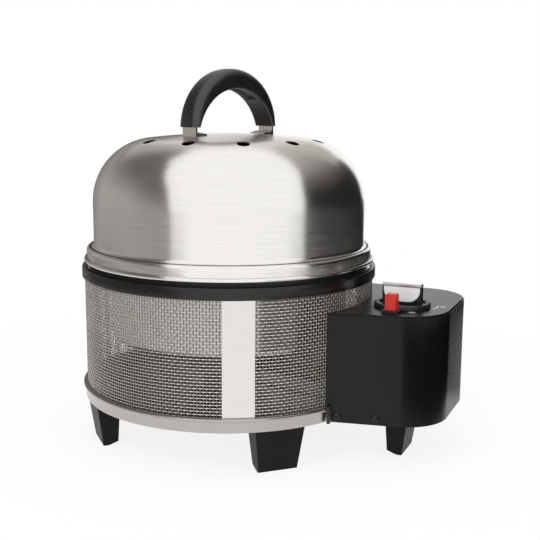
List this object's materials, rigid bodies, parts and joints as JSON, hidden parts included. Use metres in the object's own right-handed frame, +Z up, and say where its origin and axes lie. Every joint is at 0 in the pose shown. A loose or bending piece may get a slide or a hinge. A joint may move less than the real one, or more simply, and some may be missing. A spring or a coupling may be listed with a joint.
{
  "type": "portable gas grill",
  "caption": "Round portable gas grill: vented steel dome lid with arched grip, woven mesh wall, lift-out bowl and grill plate, and a side gas box with knob, igniter button and cartridge.",
  "frame": {"origin": "under the middle of the whole grill's footprint, in the plane that the feet's soles stand on", "axes": "+Z up along the body axis; +X from the body axis, which lies at X -44.1 mm, through the side gas box; +Y to the back of the gas box"},
  "size_m": [0.4108, 0.3226, 0.396],
  "materials": {
    "lid_steel": "brushed",
    "bright_steel": "polished",
    "ring_steel": "satin",
    "mesh_wire": "woven",
    "band_black": "satin",
    "box_black": "fine textured satin",
    "foot_plastic": "matte",
    "grip_plastic": "soft touch",
    "plate_coating": "enamelled",
    "burner_steel": "dull",
    "gas_brass": "satin",
    "red_plastic": "gloss",
    "knob_plastic": "satin",
    "bezel_plastic": "satin",
    "knob_chrome": "polished",
    "screw_metal": "satin",
    "bracket_metal": "satin",
    "lead_rubber": "matte",
    "ceramic": "glazed",
    "cartridge_coat": "gloss"
  },
  "bodies": {
    "base": {"base_ring": "ring_steel", "base_pan": "burner_steel", "front_right_foot": "foot_plastic", "front_left_foot": "foot_plastic", "rear_left_foot": "foot_plastic", "rear_right_foot": "foot_plastic", "foot_screws": "screw_metal", "mesh_wall": "mesh_wire", "name_plate": "bright_steel", "rim_band": "band_black", "burner_stand": "burner_steel", "burner_body": "burner_steel", "burner_cap": "burner_steel", "mixing_tube": "burner_steel", "jet_holder": "gas_brass", "gas_pipe": "gas_brass", "electrode": "ceramic", "ignition_lead": "lead_rubber", "gas_box": "box_black", "gas_box_cover": "box_black", "box_foot": "foot_plastic", "box_foot_screws": "screw_metal", "box_screws": "screw_metal", "box_bracket": "bracket_metal", "bracket_screws": "screw_metal", "ring_clips": "bracket_metal", "bezel_ring": "bezel_plastic", "valve_body": "gas_brass", "feed_pipe": "gas_brass", "cartridge_coupling": "bracket_metal", "cartridge_cradle": "foot_plastic", "piezo_igniter": "ceramic"},
    "bowl": {"bowl_flange": "bright_steel", "bowl_wall": "bright_steel", "bowl_floor": "bright_steel", "bowl_chimney": "bright_steel"},
    "plate": {"grill_plate": "plate_coating"},
    "lid": {"lid_dome": "lid_steel", "handle_grip": "grip_plastic", "near_handle_bracket": "bright_steel", "far_handle_bracket": "bright_steel", "grip_screws": "screw_metal", "bracket_rivets": "bright_steel"},
    "knob": {"control_knob": "knob_plastic", "knob_plate": "knob_chrome", "knob_bar": "knob_chrome", "knob_rivets": "screw_metal", "valve_spindle": "bright_steel"},
    "button": {"igniter_button": "red_plastic"},
    "cartridge": {"gas_cartridge": "cartridge_coat", "cartridge_nozzle": "gas_brass"}
  },
  "joints": [
    {"name": "bowl_lift", "type": "slide", "parent": "base", "child": "bowl", "axis": [0, 0, 1], "range_m": [0, 0.12]},
    {"name": "plate_lift", "type": "slide", "parent": "bowl", "child": "plate", "axis": [0, 0, 1], "range_m": [0, 0.06]},
    {"name": "lid_lift", "type": "slide", "parent": "plate", "child": "lid", "axis": [0, 0, 1], "range_m": [0, 0.16]},
    {"name": "knob_turn", "type": "hinge", "parent": "base", "child": "knob", "pos_m": [0.1549, -0.0085, 0.15], "axis": [0, 0, 1], "range_deg": [-90, 0]},
    {"name": "igniter_press", "type": "slide", "parent": "base", "child": "button", "axis": [0, 0, -1], "range_m": [0, 0.004], "stiffness_N_per_m": 1500, "springref_m": -0.002},
    {"name": "cartridge_pull", "type": "slide", "parent": "base", "child": "cartridge", "axis": [0, 1, 0], "range_m": [0, 0.18]}
  ]
}
